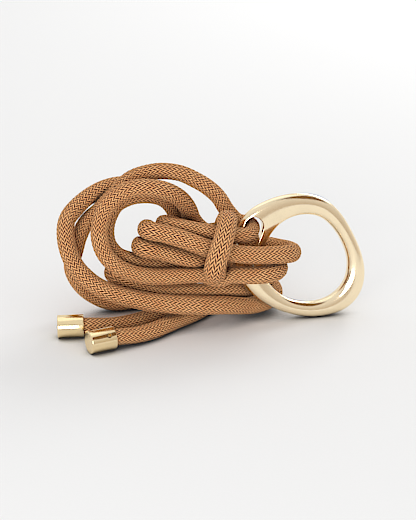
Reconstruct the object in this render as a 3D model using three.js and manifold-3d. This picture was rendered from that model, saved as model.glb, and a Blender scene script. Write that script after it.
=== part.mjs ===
// A rope belt as it is laid down: one braided rope folded into a hank, a cast ring
// buckle with a slot at its left, and a metal cap on each end of the rope.
// Millimetres, +Z up, the floor at z = 0, and +Y away from the viewer.
import * as THREE from "three";
import { mergeVertices } from "three/addons/utils/BufferGeometryUtils.js";
import Module from "manifold-3d";

const wasm = await Module();
wasm.setup();

// Driving dimensions
const ropeDiameter = 9.6;
const ropeSides = 10;
const ropeStep = 6.5;
const gap = 0.3;

const capWall = 1;
const capDiameter = ropeDiameter + 2 * (gap + capWall);
const capLength = 14;
const capBoreDepth = 10;
const capEdge = 0.5;
const ropeInCap = capBoreDepth - 2 * gap;
const screwDiameter = 2.2;
const screwFromMouth = 4.2;

const ringThickness = 7.6;
const ringFoot = new THREE.Vector3(55.2, 10.6, 0.2);
const ringYaw = THREE.MathUtils.degToRad(12);
const ringLean = THREE.MathUtils.degToRad(9);

// How finely round shapes are divided
const capSides = 48;
const holeSides = 20;
const screwSides = 16;
const outlineSteps = 360;
const slotSteps = 40;
const curveStepsPerPoint = 20;

// Moves the whole belt so that the buckle and the caps are centred over the origin
const beltShift = [-1.7, 7.6, 0];

// The rope's middle line from one cap to the other, as points [x, y, z] that it passes through
const ropePoints = [
  // from the rear cap, along the floor and round under the hank
  [-76.0, -14.9, 6.1],
  [-63.4, -13.8, 5.8],
  [-53.0, -11.6, 4.9],
  [-42.6, -7.0, 4.6],
  [-32.0, 0.0, 4.6],
  [-22.5, 6.5, 4.6],
  [-15.5, 11.5, 4.6],
  [-14.0, 18.5, 4.6],
  [-20.0, 24.0, 4.6],
  [-30.0, 25.0, 4.6],
  [-41.0, 22.5, 4.6],
  [-53.5, 19.0, 4.8],
  [-62.5, 17.0, 9.3],
  [-69.0, 14.5, 15.7],
  // the tall arch, up to the buckle's bar
  [-72.9, 12.5, 23.0],
  [-74.8, 12.5, 30.0],
  [-72.8, 14.5, 36.7],
  [-70.6, 17.5, 44.2],
  [-66.4, 20.0, 52.0],
  [-58.8, 20.5, 59.6],
  [-51.0, 20.5, 67.4],
  [-42.8, 20.0, 76.0],
  [-34.5, 19.0, 79.7],
  [-25.9, 18.0, 81.4],
  [-15.9, 18.0, 80.2],
  [-7.9, 18.5, 76.4],
  [-1.0, 19.0, 71.8],
  [4.8, 20.0, 65.8],
  [9.0, 20.5, 58.6],
  [14.6, 20.8, 52.4],
  // through the slot and round the bar, then left along the top of the hank
  [21.8, 17.4, 51.8],
  [22.9, 10.5, 51.2],
  [19.6, 2.6, 50.8],
  [10.6, 0.8, 51.6],
  [2.7, 0.8, 52.4],
  [-5.2, 0.8, 53.6],
  [-15.7, 0.6, 55.5],
  [-22.4, 1.6, 55.7],
  [-25.4, 6.6, 54.6],
  [-22.0, 12.0, 53.0],
  [-12.5, 13.2, 50.6],
  [-3.4, 12.4, 48.8],
  // the wrap over the front of the hank
  [5.0, 10.4, 50.8],
  [8.4, 6.2, 57.2],
  [9.0, -1.0, 61.3],
  [8.6, -8.0, 59.0],
  [7.0, -13.6, 54.2],
  [4.8, -17.0, 48.0],
  [2.8, -17.8, 42.0],
  [2.4, -15.6, 37.2],
  [2.8, -10.8, 34.4],
  [4.8, -4.2, 35.6],
  [6.8, 4.0, 34.8],
  [8.8, 13.0, 29.8],
  [14.4, 23.0, 21.6],
  // behind the buckle and round to the front, low down
  [21.0, 31.0, 15.4],
  [28.8, 33.5, 12.5],
  [34.8, 29.0, 10.2],
  [35.4, 21.5, 8.2],
  [30.0, 15.4, 6.9],
  [21.4, 8.8, 8.0],
  [8.1, -1.5, 12.6],
  [-5.3, -7.0, 14.8],
  [-18.5, -8.0, 15.6],
  [-31.8, -8.0, 17.0],
  [-42.3, -8.0, 19.3],
  [-51.8, -8.0, 22.2],
  [-59.7, -7.0, 25.8],
  [-66.0, -5.0, 30.1],
  [-70.4, -2.0, 34.0],
  // the outer loop
  [-73.4, 1.0, 38.0],
  [-75.6, 4.0, 43.1],
  [-76.8, 8.0, 49.4],
  [-76.2, 12.5, 55.7],
  [-71.8, 18.0, 60.4],
  [-64.4, 24.0, 64.9],
  [-56.1, 29.0, 67.9],
  [-47.3, 31.0, 69.2],
  [-39.0, 32.0, 68.2],
  [-30.8, 32.5, 66.2],
  [-22.5, 33.0, 62.8],
  [-15.5, 34.0, 58.4],
  [-11.4, 35.0, 53.5],
  [-9.4, 35.5, 45.5],
  [-4.5, 33.5, 37.5],
  [4.5, 29.0, 30.8],
  [15.5, 25.2, 28.8],
  [27.0, 21.5, 28.6],
  [34.2, 16.0, 30.2],
  [37.2, 8.0, 31.0],
  [35.8, 0.0, 31.5],
  // right to left along the front, then up round the middle loop
  [30.0, -5.0, 31.6],
  [21.1, -7.0, 31.9],
  [10.8, -6.4, 31.8],
  [3.9, -5.6, 29.9],
  [-4.0, -5.0, 31.6],
  [-16.0, -5.2, 30.9],
  [-30.0, -5.8, 30.7],
  [-41.6, -7.2, 33.4],
  [-49.8, -8.0, 38.2],
  [-55.0, -7.0, 44.0],
  [-57.6, -5.0, 51.1],
  [-57.6, -2.0, 58.4],
  [-54.9, 1.0, 65.6],
  [-49.1, 3.0, 72.1],
  [-41.3, 4.0, 76.2],
  [-32.6, 5.0, 76.6],
  [-24.1, 7.5, 74.3],
  [-16.5, 12.5, 68.5],
  [-11.8, 18.2, 60.4],
  [-9.8, 23.0, 52.8],
  [-5.6, 25.2, 46.4],
  [2.0, 24.0, 42.0],
  [12.0, 22.0, 40.6],
  [24.0, 20.5, 39.6],
  [34.6, 19.5, 37.6],
  // through the buckle's hole and left along the front
  [42.4, 15.5, 37.4],
  [44.6, 8.5, 38.8],
  [41.4, 1.5, 40.6],
  [34.0, -3.0, 41.8],
  [23.7, -5.6, 42.7],
  [13.2, -7.0, 44.2],
  [5.3, -8.0, 46.1],
  [-2.6, -8.6, 48.4],
  [-13.0, -8.0, 52.3],
  [-23.4, -7.0, 55.3],
  [-30.6, -5.4, 56.2],
  [-33.8, 0.0, 55.4],
  [-32.6, 6.0, 53.0],
  [-27.4, 10.8, 48.6],
  [-20.5, 15.6, 45.2],
  [-17.4, 20.8, 44.0],
  [-16.6, 26.8, 47.0],
  // up round the inner loop and back under the hank
  [-18.2, 27.0, 54.4],
  [-21.8, 24.0, 61.4],
  [-27.0, 20.0, 66.4],
  [-34.8, 16.0, 69.0],
  [-43.2, 13.0, 68.6],
  [-50.0, 10.0, 65.4],
  [-54.0, 8.0, 58.8],
  [-55.3, 5.6, 51.6],
  [-53.8, 4.2, 44.6],
  [-49.0, 3.4, 39.0],
  [-42.2, 3.2, 36.4],
  [-32.0, 3.8, 35.0],
  [-22.6, 4.8, 34.0],
  [-14.6, 9.0, 32.6],
  [-9.6, 13.0, 32.6],
  [-4.6, 13.6, 34.0],
  [-1.9, 9.2, 36.0],
  [-1.8, 2.8, 36.8],
  [-5.0, -1.6, 37.2],
  [-13.6, -3.0, 40.2],
  [-26.3, -3.0, 44.0],
  [-33.2, -3.0, 45.4],
  [-37.9, 2.0, 44.8],
  [-35.0, 8.2, 42.8],
  [-28.0, 13.0, 39.4],
  [-20.0, 18.0, 36.0],
  [-12.0, 22.2, 32.8],
  [-6.6, 25.0, 27.2],
  [-7.0, 25.6, 20.4],
  [-12.6, 24.4, 16.2],
  [-20.0, 22.4, 15.6],
  [-28.6, 20.4, 17.2],
  [-40.0, 18.4, 21.4],
  [-47.8, 16.4, 25.4],
  [-52.6, 11.8, 27.8],
  [-51.6, 5.8, 26.8],
  // along under the front and round onto the floor to the front cap
  [-45.6, 3.6, 23.8],
  [-38.0, 3.0, 21.0],
  [-26.7, 1.8, 18.4],
  [-10.7, 1.4, 18.6],
  [7.2, 5.0, 18.0],
  [16.0, 11.0, 15.4],
  [20.6, 17.0, 11.6],
  [20.0, 24.0, 8.0],
  [13.6, 28.0, 5.4],
  [6.2, 25.4, 4.6],
  [0.5, 18.6, 4.6],
  [-5.0, 10.0, 4.6],
  [-10.5, 3.4, 4.6],
  [-16.0, -2.2, 4.6],
  [-24.0, -11.0, 4.6],
  [-31.5, -18.6, 4.6],
  [-39.2, -23.9, 5.0],
  [-46.8, -27.65, 5.9],
  [-58.5, -33.3, 6.1],
];

// The buckle's outlines in its own plane, as [across, up] from the point where it stands
const ringOuterPoints = [
  [0, 0],
  [11, 0.4],
  [21, 4],
  [28, 11.4],
  [30.6, 22],
  [29, 33],
  [24.5, 44.5],
  [17.5, 56.5],
  [8.5, 65],
  [-4, 68.8],
  [-16, 68.2],
  [-26, 65.2],
  [-36, 59],
  [-40.4, 50],
  [-41.4, 38],
  [-40, 27],
  [-34.5, 17.4],
  [-22.4, 7.5],
  [-10, 2.2],
];
const ringInnerPoints = [
  [-2, 8.8],
  [6, 9.4],
  [13, 12.4],
  [19, 19],
  [21, 29],
  [18.4, 39.5],
  [12.4, 49.5],
  [5.5, 55.4],
  [-3.5, 57.2],
  [-12, 55.4],
  [-19, 50.6],
  [-24.4, 43],
  [-26.6, 34],
  [-25, 24],
  [-18.6, 15.6],
  [-10.5, 10.6],
];
const slotPoints = [
  [-27.2, 56.2],
  [-25.9, 53],
  [-26.9, 48.6],
  [-29.6, 42],
  [-31.2, 34],
  [-32.4, 28.4],
  [-35, 26.6],
  [-37, 30],
  [-37.6, 40],
  [-37, 50],
  [-34.8, 56],
  [-30.6, 58.2],
];
const ringCentre = [-5, 33];
const ringStations = 84;
const ringThinnest = 0.74;

const brass = () =>
  new THREE.MeshStandardMaterial({
    name: "gold_metal",
    color: 0xe3c58c,
    roughness: 0.14,
    metalness: 1,
  });
const braid = () =>
  new THREE.MeshStandardMaterial({
    name: "rope_braid",
    color: 0xb5814f,
    roughness: 0.9,
    metalness: 0,
  });

// A closed mesh with shared corners, as manifold-3d takes it
function toSolid(geometry) {
  const bare = geometry.index ? geometry.toNonIndexed() : geometry.clone();
  bare.deleteAttribute("normal");
  bare.deleteAttribute("uv");
  const merged = mergeVertices(bare, 1e-4);
  const mesh = new wasm.Mesh({
    numProp: 3,
    vertProperties: merged.attributes.position.array,
    triVerts: new Uint32Array(merged.index.array),
  });
  return new wasm.Manifold(mesh);
}

function toGeometry(solid) {
  const { vertProperties, triVerts } = solid.getMesh();
  const geometry = new THREE.BufferGeometry();
  geometry.setAttribute("position", new THREE.BufferAttribute(vertProperties, 3));
  geometry.setIndex(new THREE.BufferAttribute(triVerts, 1));
  const flat = geometry.toNonIndexed();
  flat.computeVertexNormals();
  return flat;
}

// The rope: a tube whose strands flatten where they press on each other
const slotPass = new THREE.Vector3(22.4, 9.5, 51.2);
const slotSqueeze = 0.16;
const slotSqueezeReach = 13;
const pressGap = 0.35;
const neighbourSteps = 3;

function ropeSection() {
  const radius = ropeDiameter / 2;
  const corners = [];
  for (let k = 0; k < ropeSides; k += 1) {
    const angle = (2 * Math.PI * (k + 0.5)) / ropeSides;
    corners.push(new THREE.Vector2(radius * Math.cos(angle), radius * Math.sin(angle)));
  }
  return new THREE.Shape(corners);
}

// The centre of the cross-section that a corner belongs to
function stationOf(corner, centres, tangents) {
  let best = 0;
  let least = Infinity;
  centres.forEach((centre, k) => {
    const arm = corner.clone().sub(centre);
    const miss = Math.abs(arm.length() - ropeDiameter / 2) + Math.abs(arm.dot(tangents[k]));
    if (miss < least) {
      least = miss;
      best = k;
    }
  });
  return best;
}

// The nearest point of the rope's line to a corner, leaving out its own stretch
function nearestStrand(corner, own, centres) {
  const link = new THREE.Line3();
  const spot = new THREE.Vector3();
  const nearest = new THREE.Vector3();
  let least = Infinity;
  for (let k = 0; k + 1 < centres.length; k += 1) {
    if (Math.abs(k - own) < neighbourSteps) continue;
    link.set(centres[k], centres[k + 1]);
    link.closestPointToPoint(corner, true, spot);
    const away = spot.distanceTo(corner);
    if (away < least) {
      least = away;
      nearest.copy(spot);
    }
  }
  return nearest;
}

function pressStrands(geometry, path, steps) {
  const centres = path.getSpacedPoints(steps);
  const { tangents } = path.computeFrenetFrames(steps, false);
  const places = geometry.attributes.position;
  const corner = new THREE.Vector3();
  for (let k = 0; k < places.count; k += 1) {
    corner.fromBufferAttribute(places, k);
    const own = stationOf(corner, centres, tangents);
    const centre = centres[own];
    if (corner.distanceTo(centre) > ropeDiameter / 4) {
      const fade = Math.max(0, 1 - centre.distanceTo(slotPass) / slotSqueezeReach);
      corner.lerp(centre, slotSqueeze * Math.sqrt(fade));
    }
    const toward = nearestStrand(corner, own, centres).sub(centre);
    const room = (toward.length() - pressGap) / 2;
    toward.normalize();
    const reach = corner.clone().sub(centre).dot(toward);
    if (reach > room) corner.addScaledVector(toward, room - reach);
    corner.z = Math.max(corner.z, 0);
    places.setXYZ(k, corner.x, corner.y, corner.z);
  }
  geometry.computeVertexNormals();
}

function makeRope() {
  const points = ropePoints.map((p) => new THREE.Vector3(...p));
  const path = new THREE.CatmullRomCurve3(points, false, "centripetal");
  path.arcLengthDivisions = points.length * curveStepsPerPoint;
  const steps = Math.round(path.getLength() / ropeStep);
  const geometry = new THREE.ExtrudeGeometry(ropeSection(), {
    steps,
    bevelEnabled: false,
    extrudePath: path,
  });
  pressStrands(geometry, path, steps);
  const rope = new THREE.Mesh(geometry, braid());
  rope.name = "rope";
  return rope;
}

// The distance from the buckle's centre to an outline, in the direction of an angle
function outlineReach(outline, angle) {
  const ux = Math.cos(angle);
  const uy = Math.sin(angle);
  let reach = 0;
  for (let k = 0; k < outline.length; k += 1) {
    const [ax, ay] = outline[k];
    const [bx, by] = outline[(k + 1) % outline.length];
    const sideA = ux * (ay - ringCentre[1]) - uy * (ax - ringCentre[0]);
    const sideB = ux * (by - ringCentre[1]) - uy * (bx - ringCentre[0]);
    if (sideA * sideB > 0 || sideA === sideB) continue;
    const t = sideA / (sideA - sideB);
    const x = ax + t * (bx - ax) - ringCentre[0];
    const y = ay + t * (by - ay) - ringCentre[1];
    const along = x * ux + y * uy;
    reach = Math.max(reach, along);
  }
  return reach;
}

function smoothOutline(points, count) {
  const corners = points.map(([x, y]) => new THREE.Vector3(x, y, 0));
  const curve = new THREE.CatmullRomCurve3(corners, true, "centripetal");
  return curve.getSpacedPoints(count).slice(0, count).map((p) => [p.x, p.y]);
}

// The buckle's cross-section: share of the way from the outer edge to the inner one, and
// share of the half thickness toward the front (+) or the back (-)
const ringProfile = [
  { in: 0.0, front: 0.0 },
  { in: 0.04, front: 0.42 },
  { in: 0.15, front: 0.78 },
  { in: 0.34, front: 0.98 },
  { in: 0.55, front: 1.0 },
  { in: 0.76, front: 0.86 },
  { in: 0.93, front: 0.55 },
  { in: 1.0, front: 0.1 },
  { in: 0.985, front: -0.5 },
  { in: 0.86, front: -0.86 },
  { in: 0.5, front: -0.96 },
  { in: 0.14, front: -0.78 },
  { in: 0.03, front: -0.4 },
];

function ringBody() {
  const outer = smoothOutline(ringOuterPoints, outlineSteps);
  const inner = smoothOutline(ringInnerPoints, outlineSteps);
  const corners = [];
  for (let k = 0; k < ringStations; k += 1) {
    const angle = (2 * Math.PI * k) / ringStations;
    const far = outlineReach(outer, angle);
    const near = outlineReach(inner, angle);
    // the band is thinner at the left, where the bar is
    const leftness = (1 - Math.cos(angle)) / 2;
    const half = (ringThickness / 2) * (1 - (1 - ringThinnest) * leftness);
    ringProfile.forEach((p) => {
      const reach = far + (near - far) * p.in;
      const x = ringCentre[0] + reach * Math.cos(angle);
      const y = ringCentre[1] + reach * Math.sin(angle);
      corners.push(x, -half * p.front, y);
    });
  }
  const faces = [];
  const across = ringProfile.length;
  for (let k = 0; k < ringStations; k += 1) {
    for (let j = 0; j < across; j += 1) {
      const here = k * across;
      const next = ((k + 1) % ringStations) * across;
      const j2 = (j + 1) % across;
      faces.push(here + j, next + j, here + j2);
      faces.push(next + j, next + j2, here + j2);
    }
  }
  const geometry = new THREE.BufferGeometry();
  geometry.setAttribute("position", new THREE.Float32BufferAttribute(corners, 3));
  geometry.setIndex(faces);
  return geometry;
}

function slotCutter() {
  const outline = smoothOutline(slotPoints, slotSteps);
  const shape = new THREE.Shape(outline.map(([x, y]) => new THREE.Vector2(x, y)));
  const cutter = new THREE.ExtrudeGeometry(shape, {
    depth: 3 * ringThickness,
    bevelEnabled: false,
  });
  cutter.translate(0, 0, -1.5 * ringThickness);
  cutter.rotateX(Math.PI / 2);
  return cutter;
}

function makeRing() {
  const cut = toSolid(ringBody()).subtract(toSolid(slotCutter()));
  const ring = new THREE.Mesh(toGeometry(cut), brass());
  ring.name = "ring_buckle";
  ring.position.copy(ringFoot);
  ring.rotation.set(-ringLean, 0, ringYaw, "ZXY");
  return ring;
}

// A cap stands in its own frame with its mouth at z = 0 and its closed end at the top
function capCup() {
  const radius = capDiameter / 2;
  const bore = ropeDiameter / 2 + gap;
  const profile = [
    [0, capBoreDepth],
    [bore, capBoreDepth],
    [bore, 0],
    [radius - capEdge, 0],
    [radius, capEdge],
    [radius, capLength - capEdge],
    [radius - capEdge, capLength],
    [0, capLength],
  ];
  const points = profile.map(([r, z]) => new THREE.Vector2(r, z));
  const cup = new THREE.LatheGeometry(points, capSides);
  cup.rotateX(Math.PI / 2);
  const hole = screwDiameter / 2;
  const drill = new THREE.CylinderGeometry(hole, hole, capDiameter, holeSides);
  drill.translate(0, -capDiameter / 2 - ropeDiameter / 4, screwFromMouth);
  return toGeometry(toSolid(cup).subtract(toSolid(drill)));
}

function screwPlug() {
  const radius = screwDiameter / 2 - gap;
  const inner = ropeDiameter / 2 + gap;
  const length = capDiameter / 2 - inner - gap;
  const plug = new THREE.CylinderGeometry(radius, radius, length, screwSides);
  plug.translate(0, -(inner + length / 2), screwFromMouth);
  return plug;
}

// The cap's mouth lies back along the rope from the rope's end, heading points to the closed
// end, and roll turns the screw round the cap
function makeCap(name, ropeEnd, heading, roll) {
  const along = new THREE.Vector3(...heading).normalize();
  const side = new THREE.Vector3(along.y, -along.x, 0).normalize();
  const up = new THREE.Vector3().crossVectors(along, side);
  const cup = new THREE.Mesh(capCup(), brass());
  cup.name = name;
  const plug = new THREE.Mesh(screwPlug(), brass());
  plug.name = name + "_screw";
  const cap = new THREE.Group();
  cap.add(cup, plug);
  cap.position.set(...ropeEnd).addScaledVector(along, -ropeInCap);
  cap.quaternion.setFromRotationMatrix(new THREE.Matrix4().makeBasis(side, up, along));
  cap.rotateZ(roll);
  return cap;
}

const rearHeading = [-1, -0.0875, 0];
const frontHeading = [-0.9, -0.436, 0];
// the rear screw is underneath, the front one faces up and toward the viewer
const rearRoll = Math.PI;
const frontRoll = THREE.MathUtils.degToRad(-50);

const belt = new THREE.Group();
belt.name = "rope_belt";
belt.position.set(...beltShift);
belt.add(makeRope());
belt.add(makeRing());
belt.add(makeCap("end_cap_rear", ropePoints[0], rearHeading, rearRoll));
belt.add(makeCap("end_cap_front", ropePoints[ropePoints.length - 1], frontHeading, frontRoll));

export default belt;
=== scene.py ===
# The looks of a rope belt: one braided rope folded into a hank, a cast ring buckle with a
# slot at its left, and a metal cap with a set screw on each end of the rope.
# Metres, +Z up, the floor at z = 0, and +Y away from the viewer.
import math

import bpy
import numpy as np
from mathutils import Matrix, Vector


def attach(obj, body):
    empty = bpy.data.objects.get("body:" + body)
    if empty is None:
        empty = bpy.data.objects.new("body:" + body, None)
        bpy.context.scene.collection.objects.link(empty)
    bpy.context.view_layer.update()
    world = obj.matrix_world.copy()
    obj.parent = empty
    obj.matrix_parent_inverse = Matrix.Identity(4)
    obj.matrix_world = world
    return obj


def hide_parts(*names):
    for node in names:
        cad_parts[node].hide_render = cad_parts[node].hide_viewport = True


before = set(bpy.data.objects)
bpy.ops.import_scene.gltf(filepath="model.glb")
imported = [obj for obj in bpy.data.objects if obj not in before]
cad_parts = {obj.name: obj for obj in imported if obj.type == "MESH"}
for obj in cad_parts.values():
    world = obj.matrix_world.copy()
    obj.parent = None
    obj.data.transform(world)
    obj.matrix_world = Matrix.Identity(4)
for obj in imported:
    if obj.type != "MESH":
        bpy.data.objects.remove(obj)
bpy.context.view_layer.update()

# Driving dimensions, as in the part
ROPE_DIAMETER = 0.0096
CAP_DIAMETER = 0.0122
CAP_LENGTH = 0.014
CAP_BORE_DEPTH = 0.010
CAP_EDGE = 0.0005
FIT_GAP = 0.0003
SCREW_DIAMETER = 0.0022
SCREW_FROM_MOUTH = 0.0042
RING_THICKNESS = 0.0076
RING_THINNEST = 0.74
RING_FOOT = Vector((0.0552, 0.0106, 0.0002))
RING_YAW = math.radians(12)
RING_LEAN = math.radians(9)
BELT_SHIFT = Vector((-0.0017, 0.0076, 0.0))

# The photograph is taken from 22 degrees above the floor
PHOTO_PITCH = math.radians(22)
PHOTO_DISTANCE = 0.8
PHOTO_WIDTH = 0.2205
PHOTO_TARGET = Vector((-0.001, 0.0, 0.0378)) + BELT_SHIFT
SENSOR_WIDTH = 36.0

# The rope's middle line from one cap to the other, the same points as in the part
ROPE_POINTS = [
    # from the rear cap, along the floor and round under the hank
    (-0.076, -0.0149, 0.0061),
    (-0.0634, -0.0138, 0.0058),
    (-0.053, -0.0116, 0.0049),
    (-0.0426, -0.007, 0.0046),
    (-0.032, 0.0, 0.0046),
    (-0.0225, 0.0065, 0.0046),
    (-0.0155, 0.0115, 0.0046),
    (-0.014, 0.0185, 0.0046),
    (-0.02, 0.024, 0.0046),
    (-0.03, 0.025, 0.0046),
    (-0.041, 0.0225, 0.0046),
    (-0.0535, 0.019, 0.0048),
    (-0.0625, 0.017, 0.0093),
    (-0.069, 0.0145, 0.0157),
    # the tall arch, up to the buckle's bar
    (-0.0729, 0.0125, 0.023),
    (-0.0748, 0.0125, 0.03),
    (-0.0728, 0.0145, 0.0367),
    (-0.0706, 0.0175, 0.0442),
    (-0.0664, 0.02, 0.052),
    (-0.0588, 0.0205, 0.0596),
    (-0.051, 0.0205, 0.0674),
    (-0.0428, 0.02, 0.076),
    (-0.0345, 0.019, 0.0797),
    (-0.0259, 0.018, 0.0814),
    (-0.0159, 0.018, 0.0802),
    (-0.0079, 0.0185, 0.0764),
    (-0.001, 0.019, 0.0718),
    (0.0048, 0.02, 0.0658),
    (0.009, 0.0205, 0.0586),
    (0.0146, 0.0208, 0.0524),
    # through the slot and round the bar, then left along the top of the hank
    (0.0218, 0.0174, 0.0518),
    (0.0229, 0.0105, 0.0512),
    (0.0196, 0.0026, 0.0508),
    (0.0106, 0.0008, 0.0516),
    (0.0027, 0.0008, 0.0524),
    (-0.0052, 0.0008, 0.0536),
    (-0.0157, 0.0006, 0.0555),
    (-0.0224, 0.0016, 0.0557),
    (-0.0254, 0.0066, 0.0546),
    (-0.022, 0.012, 0.053),
    (-0.0125, 0.0132, 0.0506),
    (-0.0034, 0.0124, 0.0488),
    # the wrap over the front of the hank
    (0.005, 0.0104, 0.0508),
    (0.0084, 0.0062, 0.0572),
    (0.009, -0.001, 0.0613),
    (0.0086, -0.008, 0.059),
    (0.007, -0.0136, 0.0542),
    (0.0048, -0.017, 0.048),
    (0.0028, -0.0178, 0.042),
    (0.0024, -0.0156, 0.0372),
    (0.0028, -0.0108, 0.0344),
    (0.0048, -0.0042, 0.0356),
    (0.0068, 0.004, 0.0348),
    (0.0088, 0.013, 0.0298),
    (0.0144, 0.023, 0.0216),
    # behind the buckle and round to the front, low down
    (0.021, 0.031, 0.0154),
    (0.0288, 0.0335, 0.0125),
    (0.0348, 0.029, 0.0102),
    (0.0354, 0.0215, 0.0082),
    (0.03, 0.0154, 0.0069),
    (0.0214, 0.0088, 0.008),
    (0.0081, -0.0015, 0.0126),
    (-0.0053, -0.007, 0.0148),
    (-0.0185, -0.008, 0.0156),
    (-0.0318, -0.008, 0.017),
    (-0.0423, -0.008, 0.0193),
    (-0.0518, -0.008, 0.0222),
    (-0.0597, -0.007, 0.0258),
    (-0.066, -0.005, 0.0301),
    (-0.0704, -0.002, 0.034),
    # the outer loop
    (-0.0734, 0.001, 0.038),
    (-0.0756, 0.004, 0.0431),
    (-0.0768, 0.008, 0.0494),
    (-0.0762, 0.0125, 0.0557),
    (-0.0718, 0.018, 0.0604),
    (-0.0644, 0.024, 0.0649),
    (-0.0561, 0.029, 0.0679),
    (-0.0473, 0.031, 0.0692),
    (-0.039, 0.032, 0.0682),
    (-0.0308, 0.0325, 0.0662),
    (-0.0225, 0.033, 0.0628),
    (-0.0155, 0.034, 0.0584),
    (-0.0114, 0.035, 0.0535),
    (-0.0094, 0.0355, 0.0455),
    (-0.0045, 0.0335, 0.0375),
    (0.0045, 0.029, 0.0308),
    (0.0155, 0.0252, 0.0288),
    (0.027, 0.0215, 0.0286),
    (0.0342, 0.016, 0.0302),
    (0.0372, 0.008, 0.031),
    (0.0358, 0.0, 0.0315),
    # right to left along the front, then up round the middle loop
    (0.03, -0.005, 0.0316),
    (0.0211, -0.007, 0.0319),
    (0.0108, -0.0064, 0.0318),
    (0.0039, -0.0056, 0.0299),
    (-0.004, -0.005, 0.0316),
    (-0.016, -0.0052, 0.0309),
    (-0.03, -0.0058, 0.0307),
    (-0.0416, -0.0072, 0.0334),
    (-0.0498, -0.008, 0.0382),
    (-0.055, -0.007, 0.044),
    (-0.0576, -0.005, 0.0511),
    (-0.0576, -0.002, 0.0584),
    (-0.0549, 0.001, 0.0656),
    (-0.0491, 0.003, 0.0721),
    (-0.0413, 0.004, 0.0762),
    (-0.0326, 0.005, 0.0766),
    (-0.0241, 0.0075, 0.0743),
    (-0.0165, 0.0125, 0.0685),
    (-0.0118, 0.0182, 0.0604),
    (-0.0098, 0.023, 0.0528),
    (-0.0056, 0.0252, 0.0464),
    (0.002, 0.024, 0.042),
    (0.012, 0.022, 0.0406),
    (0.024, 0.0205, 0.0396),
    (0.0346, 0.0195, 0.0376),
    # through the buckle's hole and left along the front
    (0.0424, 0.0155, 0.0374),
    (0.0446, 0.0085, 0.0388),
    (0.0414, 0.0015, 0.0406),
    (0.034, -0.003, 0.0418),
    (0.0237, -0.0056, 0.0427),
    (0.0132, -0.007, 0.0442),
    (0.0053, -0.008, 0.0461),
    (-0.0026, -0.0086, 0.0484),
    (-0.013, -0.008, 0.0523),
    (-0.0234, -0.007, 0.0553),
    (-0.0306, -0.0054, 0.0562),
    (-0.0338, 0.0, 0.0554),
    (-0.0326, 0.006, 0.053),
    (-0.0274, 0.0108, 0.0486),
    (-0.0205, 0.0156, 0.0452),
    (-0.0174, 0.0208, 0.044),
    (-0.0166, 0.0268, 0.047),
    # up round the inner loop and back under the hank
    (-0.0182, 0.027, 0.0544),
    (-0.0218, 0.024, 0.0614),
    (-0.027, 0.02, 0.0664),
    (-0.0348, 0.016, 0.069),
    (-0.0432, 0.013, 0.0686),
    (-0.05, 0.01, 0.0654),
    (-0.054, 0.008, 0.0588),
    (-0.0553, 0.0056, 0.0516),
    (-0.0538, 0.0042, 0.0446),
    (-0.049, 0.0034, 0.039),
    (-0.0422, 0.0032, 0.0364),
    (-0.032, 0.0038, 0.035),
    (-0.0226, 0.0048, 0.034),
    (-0.0146, 0.009, 0.0326),
    (-0.0096, 0.013, 0.0326),
    (-0.0046, 0.0136, 0.034),
    (-0.0019, 0.0092, 0.036),
    (-0.0018, 0.0028, 0.0368),
    (-0.005, -0.0016, 0.0372),
    (-0.0136, -0.003, 0.0402),
    (-0.0263, -0.003, 0.044),
    (-0.0332, -0.003, 0.0454),
    (-0.0379, 0.002, 0.0448),
    (-0.035, 0.0082, 0.0428),
    (-0.028, 0.013, 0.0394),
    (-0.02, 0.018, 0.036),
    (-0.012, 0.0222, 0.0328),
    (-0.0066, 0.025, 0.0272),
    (-0.007, 0.0256, 0.0204),
    (-0.0126, 0.0244, 0.0162),
    (-0.02, 0.0224, 0.0156),
    (-0.0286, 0.0204, 0.0172),
    (-0.04, 0.0184, 0.0214),
    (-0.0478, 0.0164, 0.0254),
    (-0.0526, 0.0118, 0.0278),
    (-0.0516, 0.0058, 0.0268),
    # along under the front and round onto the floor to the front cap
    (-0.0456, 0.0036, 0.0238),
    (-0.038, 0.003, 0.021),
    (-0.0267, 0.0018, 0.0184),
    (-0.0107, 0.0014, 0.0186),
    (0.0072, 0.005, 0.018),
    (0.016, 0.011, 0.0154),
    (0.0206, 0.017, 0.0116),
    (0.02, 0.024, 0.008),
    (0.0136, 0.028, 0.0054),
    (0.0062, 0.0254, 0.0046),
    (0.0005, 0.0186, 0.0046),
    (-0.005, 0.01, 0.0046),
    (-0.0105, 0.0034, 0.0046),
    (-0.016, -0.0022, 0.0046),
    (-0.024, -0.011, 0.0046),
    (-0.0315, -0.0186, 0.0046),
    (-0.0392, -0.0239, 0.005),
    (-0.0468, -0.02765, 0.0059),
    (-0.0585, -0.0333, 0.0061),
]

# Where the rope is drawn thin or lies full: number of a point on the line above, share of the
# rope's diameter there
ROPE_FULLNESS = [
    (0, 0.93),
    (5, 0.96),
    (13, 0.96),
    (22, 0.95),
    (30, 0.93),
    (36, 1.02),
    (42, 1.04),
    (46, 1.12),
    (50, 1.16),
    (53, 1.0),
    (60, 1.04),
    (63, 1.10),
    (67, 1.04),
    (91, 1.02),
    (95, 0.95),
    (98, 0.95),
    (102, 1.02),
    (150, 1.02),
    (182, 0.98),
    (187, 0.92),
]
ROPE_STEP = 0.00085
LINE_SAMPLES = 24

# How strands give way where they press on each other, on the floor and in tight bends
PRESS_GAP = 0.00012
PRESS_SOFTNESS = 0.00035
OWN_STRETCH = 0.0135
BEND_FLATTENING = 0.24
MOST_SWELL = 1.09
FLOOR_CLEARANCE = 0.00004
SLOT_PASS = Vector((0.0224, 0.0095, 0.0512))
SLOT_SQUEEZE = 0.13
SLOT_SQUEEZE_REACH = 0.013
TWIST_TURNS = ((0.9, 3.1, 0.4), (0.5, 7.7, 2.0))

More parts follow.
